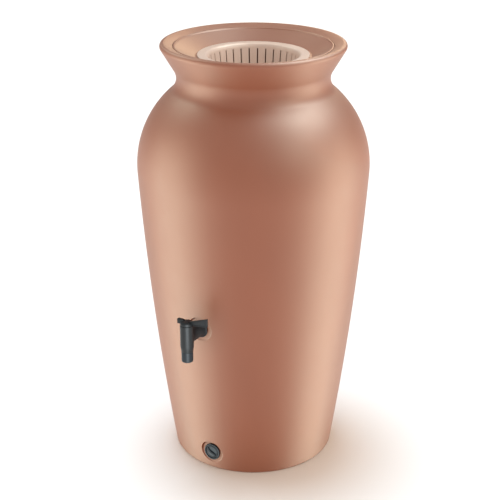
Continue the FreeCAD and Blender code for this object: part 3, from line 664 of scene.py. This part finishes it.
# The grip's turn from level, half its length and its sway to either side in millimetres, and its middle's
# place in front of the pad.
GRIP_TURN = math.radians(39)
GRIP_REACH = 16
GRIP_SWAY = 1.5
GRIP_OUT = Vector((0, -7.7 * MM, 0))


def make_bush():
    """Flanged bush with a raised lip round its flange; its heights are from the pad outwards."""
    return turned("drain_flange", [
        (12.3, -19.4, 0.5), (16.5, -19.4, 0.8), (16.5, 1.6), (24, 1.6, 0.6), (24, 6.6, 1.8),
        (20.3, 6.6, 0.8), (19.5, 3.4, 0.3), (15, 3.4, 0.3), (15, 0.8), (12.3, 0.8)],
        DRAIN_SEGMENTS, DRAIN_FACE, FACING_OUT)


def make_plug():
    """Screw plug with a crowned head and an S-shaped grip across it."""
    corners = [(9, -9.1, 0.4), (11.4, -9.1, 0.4)] + threads(11.4, 12.2, -7.9, 5)
    corners += [(11.4, 3.4), (18.5, 3.4, 0.4), (18.5, 5.6, 1.2), (15.2, 6.2, 1.5), (14, 5.4, 1), (0, 5.4),
                (0, 1.4), (9, 1.4)]
    body = turned("plug_body", corners, DRAIN_SEGMENTS, DRAIN_FACE, FACING_OUT)
    lower, upper = [], []
    for share in np.linspace(-1, 1, 25):
        x, z = GRIP_REACH * share, GRIP_SWAY * math.sin(math.pi * share)
        half = 3.1 + 1.0 * share ** 2
        lower.append((x, z - half))
        upper.append((x, z + half))
    turn = Matrix.Rotation(GRIP_TURN, 4, "Y")
    grip = slab("grip", lower + upper[::-1], 8.6, 2.6, DRAIN_FACE + GRIP_OUT, turn)
    return joined("drain_stopper", [body, grip])


# ---------------------------------------------------------------- materials


def material(name, colour, roughness, build=None, **values):
    """A Principled material; uniform values are set on the shader's own sockets."""
    made = bpy.data.materials.new(name)
    made.use_nodes = True
    shader = made.node_tree.nodes["Principled BSDF"]
    shader.inputs["Base Color"].default_value = (*colour, 1)
    shader.inputs["Roughness"].default_value = roughness
    for socket, value in values.items():
        shader.inputs[socket.replace("_", " ")].default_value = value
    if build:
        build(made.node_tree, shader, colour, roughness)
    return made


def node(tree, kind, **values):
    """A shader node with values for its sockets or its properties."""
    made = tree.nodes.new(kind)
    for name, value in values.items():
        if name in made.inputs:
            made.inputs[name].default_value = value
        else:
            setattr(made, name, value)
    return made


def noise(tree, scale, detail, stretch=(1, 1, 1)):
    """Noise in the object's own space; scale is in features per metre."""
    place = node(tree, "ShaderNodeTexCoord")
    mapping = node(tree, "ShaderNodeMapping")
    mapping.inputs["Scale"].default_value = stretch
    tree.links.new(place.outputs["Object"], mapping.inputs["Vector"])
    made = node(tree, "ShaderNodeTexNoise", Scale=scale, Detail=detail)
    tree.links.new(mapping.outputs["Vector"], made.inputs["Vector"])
    return made


def ramp(tree, source, low, high, start=0.3, stop=0.7):
    """Map a value that runs from start to stop to one that runs from low to high."""
    made = node(tree, "ShaderNodeMapRange")
    made.inputs["From Min"].default_value = start
    made.inputs["From Max"].default_value = stop
    made.inputs["To Min"].default_value = low
    made.inputs["To Max"].default_value = high
    tree.links.new(source, made.inputs["Value"])
    return made


def moulded(grain_scale, grain_height, mottle, rough_swing=0.05):
    """Moulded plastic: faint colour mottling, patchy gloss and a fine orange-peel grain.

    mottle is a share of the colour, rough_swing an amount of roughness, both up and down.
    """

    def build(tree, shader, colour, roughness):
        cloud = noise(tree, 9, 4, (1, 1, 0.45))
        mix = node(tree, "ShaderNodeMix", data_type="RGBA")  # 0 is the factor, 6 and 7 the two colours
        mix.inputs[6].default_value = (*[c * (1 - mottle) for c in colour], 1)
        mix.inputs[7].default_value = (*[min(c * (1 + mottle), 1) for c in colour], 1)
        spread = ramp(tree, cloud.outputs["Fac"], 0, 1)
        tree.links.new(spread.outputs["Result"], mix.inputs[0])
        tree.links.new(mix.outputs[2], shader.inputs["Base Color"])
        patch = noise(tree, 26, 3)
        gloss = ramp(tree, patch.outputs["Fac"], roughness - rough_swing, roughness + rough_swing)
        tree.links.new(gloss.outputs["Result"], shader.inputs["Roughness"])
        grain = noise(tree, grain_scale, 2)
        bump = node(tree, "ShaderNodeBump", Strength=0.5, Distance=grain_height)
        tree.links.new(grain.outputs["Fac"], bump.inputs["Height"])
        tree.links.new(bump.outputs["Normal"], shader.inputs["Normal"])

    return build


def dark_plastic(name, colour, roughness):
    """The satin plastic of the tap and the drain."""
    return material(name, colour, roughness, moulded(900, 0.03 * MM, 0.12), Specular_IOR_Level=0.35)


TERRACOTTA = material("terracotta", (0.3, 0.084, 0.036), 0.5, moulded(420, 0.06 * MM, 0.03, 0.012),
                      Specular_IOR_Level=0.625)
BASKET = material("basket_beige", (0.64, 0.48, 0.39), 0.45, moulded(600, 0.04 * MM, 0.02))
SLATE = dark_plastic("slate_plastic", (0.017, 0.02, 0.022), 0.44)
NOZZLE = dark_plastic("nozzle_plastic", (0.017, 0.024, 0.032), 0.44)
DRAIN = dark_plastic("drain_plastic", (0.018, 0.025, 0.03), 0.4)
RUBBER = material("rubber", (0.012, 0.012, 0.012), 0.8, moulded(700, 0.05 * MM, 0.2))
STEEL = material("zinc_steel", (0.6, 0.61, 0.63), 0.3, moulded(2000, 0.01 * MM, 0.05), Metallic=1.0)

# The CAD's own nodes that stay.
CAD_MATERIALS = {
    "tap_cock": SLATE, "tap_nut": SLATE, "drain_nut": DRAIN, "handle_screw": STEEL,
    "nozzle_o_ring": RUBBER, "cock_o_rings": RUBBER, "tap_outer_washer": RUBBER,
    "tap_inner_washer": RUBBER, "drain_outer_washer": RUBBER, "drain_inner_washer": RUBBER,
    "drain_plug_seal": RUBBER,
}


def dress_frame():
    """Give the CAD nodes that stay their materials."""
    for name, finish in CAD_MATERIALS.items():
        mesh = frame["nodes"][name].data
        mesh.materials.clear()
        mesh.materials.append(finish)


def show(piece, body, slot, finish, *nodes):
    """Put a finished piece on its body, in place of the CAD nodes it stands for."""
    piece.data.materials.clear()
    piece.data.materials.append(finish)
    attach(piece, body)
    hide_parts(*nodes)


# ---------------------------------------------------------------- studio

# The camera stands to the right of the front and looks down. A pitch or a rise is an angle from level.
CAMERA_TURN = math.radians(29.9)
CAMERA_DISTANCE = 3.072
CAMERA_HEIGHT = 1.849
CAMERA_PITCH = math.radians(22.53)
CAMERA_SHIFT = -0.0069  # a share of the sensor's width
SENSOR = 36.0  # millimetres, as the focal length is
FOCAL = 86.99

# The floor, and the sun that washes it: its strength, colour, width of disc, azimuth from the camera's, rise.
FLOOR_HALF = 12
FLOOR_COLOUR = (0.8, 0.67, 0.56)
WASH = 3.4
WASH_COLOUR = (0.47, 0.72, 1.0)
WASH_SPREAD = math.radians(24)
WASH_FROM = math.radians(-150)
WASH_RISE = math.radians(81)

WORLD_GLOSS = 0.4  # brightness of the surroundings in reflections, where 1 is white
DARK_PIECES = ("tap_moulding", "hose_nozzle", "lever", "lever_cap", "drain_flange", "drain_stopper")
BOX_COLOUR = (0.92, 1.0, 0.8)
COOL = (0.86, 0.95, 1.0)
WARM = (1.0, 0.74, 0.47)

# Each softbox's azimuth in degrees from the camera's, distance from the axis, height, height that it aims at,
# width and length, radiance, the light group that it reaches, and its colour.
SOFTBOXES = {
    "left_box": (-83, 2.2, -0.3, 0.1, (1.9, 4.2), 5.9, "all_but_fittings", BOX_COLOUR),
    "right_box": (84, 2.2, -0.3, 0.1, (1.9, 4.2), 6.4, "all_but_fittings", BOX_COLOUR),
    "high_right_box": (94, 1.4, 3.1, 0.95, (1.9, 1.9), 17.0, "all_but_fittings", (0.96, 1.0, 0.88)),
    "upper_right_box": (48, 2.0, 2.0, 0.9, (1.2, 0.9), 4.5, "all_but_fittings", BOX_COLOUR),
    "high_left_box": (-125, 1.8, 2.8, 0.95, (1.3, 1.3), 8.0, "all_but_fittings", BOX_COLOUR),
    "rear_box": (163, 2.4, 2.1, 1.1, (1.6, 0.9), 6.5, "terracotta_only", WARM),
    "basket_box": (95, 1.2, 2.4, 1.13, (0.5, 0.5), 14.0, "basket_only", (1, 1, 1)),
    "front_strip": (2, 1.5, 0.4, 0.4, (0.9, 2.6), 6.0, "fittings_only", COOL),
    "low_strip": (-60, 1.5, -0.75, 0.05, (0.6, 0.8), 7.0, "drain_only", (0.86, 0.98, 1.0)),
}


def at_azimuth(angle, distance, height):
    """A point at an angle to the right of the front, seen from above."""
    return Vector((distance * math.sin(angle), -distance * math.cos(angle), height))


def aim(thing, direction):
    """Turn a lamp so that it shines along a direction."""
    thing.rotation_euler = direction.to_track_quat("-Z", "Y").to_euler()


def make_camera():
    """The main view."""
    data = bpy.data.cameras.new("camera")
    data.sensor_width = SENSOR
    data.lens = FOCAL
    data.shift_x = CAMERA_SHIFT
    camera = bpy.data.objects.new("camera", data)
    camera.location = at_azimuth(CAMERA_TURN, CAMERA_DISTANCE, CAMERA_HEIGHT)
    camera.rotation_euler = (math.pi / 2 - CAMERA_PITCH, 0, CAMERA_TURN)
    bpy.context.scene.collection.objects.link(camera)
    bpy.context.scene.camera = camera


def make_world():
    """White all round, and dimmer in reflections."""
    world = bpy.data.worlds.new("studio")
    world.use_nodes = True
    tree = world.node_tree
    seen = node(tree, "ShaderNodeLightPath")
    strength = ramp(tree, seen.outputs["Is Glossy Ray"], 1.0, WORLD_GLOSS, 0, 1)
    background = tree.nodes["Background"]
    background.inputs["Color"].default_value = (1, 1, 1, 1)
    tree.links.new(strength.outputs["Result"], background.inputs["Strength"])
    world.cycles.sampling_method = "NONE"
    bpy.context.scene.world = world


def light_group(name, things, state="INCLUDE"):
    """A collection that tells a light to reach only some things, or all others."""
    group = bpy.data.collections.new(name)
    for thing in things:
        group.objects.link(thing)
    for member in group.collection_objects:
        member.light_linking.link_state = state
    return group


def make_floor():
    """A pale floor that shows white, except in the soft shadow round the barrel.

    A high wash of cool light, which reaches nothing else, makes up for the floor's warm colour; where the
    barrel keeps it off, that colour shows.
    """
    corners = [(-FLOOR_HALF, -FLOOR_HALF, 0), (FLOOR_HALF, -FLOOR_HALF, 0), (FLOOR_HALF, FLOOR_HALF, 0),
               (-FLOOR_HALF, FLOOR_HALF, 0)]
    floor = new_object("studio_floor", corners, [(0, 1, 2, 3)])
    floor.data.materials.append(material("studio_pale", FLOOR_COLOUR, 0.9, Specular_IOR_Level=0.0))
    wash = bpy.data.objects.new("floor_wash", bpy.data.lights.new("floor_wash", "SUN"))
    wash.data.energy = WASH
    wash.data.color = WASH_COLOUR
    wash.data.angle = WASH_SPREAD
    aim(wash, -at_azimuth(CAMERA_TURN + WASH_FROM, 1, math.tan(WASH_RISE)))
    bpy.context.scene.collection.objects.link(wash)
    wash.light_linking.receiver_collection = light_group("floor_only", [floor])
    return floor


def softbox(name, azimuth, distance, height, aim_z, size, radiance, receivers, colour):
    """An area light that neither the floor nor a fitting shades.

    It shows only as a reflection, but for the basket's, which lights the basket as well.
    """
    data = bpy.data.lights.new(name, "AREA")
    data.shape = "RECTANGLE"
    data.size, data.size_y = size
    data.color = colour
    data.energy = radiance * math.pi * size[0] * size[1]
    lamp = bpy.data.objects.new(name, data)
    lamp.location = at_azimuth(CAMERA_TURN + math.radians(azimuth), distance, height)
    aim(lamp, Vector((0, 0, aim_z)) - lamp.location)
    lamp.visible_camera = False
    lamp.visible_diffuse = name == "basket_box"
    lamp.light_linking.receiver_collection = bpy.data.collections[receivers]
    lamp.light_linking.blocker_collection = bpy.data.collections["all_but_fittings"]
    bpy.context.scene.collection.objects.link(lamp)


def make_studio():
    """White surroundings, a pale floor, and boxes of light that show on the barrel as soft bands."""
    bpy.context.scene.view_settings.view_transform = "Standard"
    make_world()
    floor = make_floor()
    things = bpy.data.objects
    dark = [thing for thing in things if thing.name in DARK_PIECES]
    light_group("all_but_fittings", [floor, *dark], "EXCLUDE")
    light_group("fittings_only", dark)
    light_group("basket_only", [things["strainer_basket"]])
    light_group("terracotta_only", [things["barrel_shell"], things["lid_cover"]])
    light_group("drain_only", [thing for thing in dark if thing.name.startswith("drain")])
    for name, values in SOFTBOXES.items():
        softbox(name, *values)


# ---------------------------------------------------------------- assembly

show(make_barrel(), "barrel", "terracotta", TERRACOTTA, "barrel_body")
show(make_lid(), "lid", "terracotta_lid", TERRACOTTA, "lid")
show(make_basket(), "basket", "basket_plastic", BASKET, "filter_basket")
show(make_tap_body(), "barrel", "tap_plastic", SLATE, "tap_body")
show(make_nozzle(), "barrel", "tap_plastic", NOZZLE, "tap_nozzle")
show(make_lever(), "tap_lever", "tap_plastic", SLATE, "tap_handle")
show(make_cap(), "tap_lever", "tap_plastic", SLATE, "tap_cap")
show(make_bush(), "barrel", "drain_plastic", DRAIN, "drain_bush")
show(make_plug(), "plug", "drain_plastic", DRAIN, "drain_plug")
dress_frame()
make_camera()
make_studio()
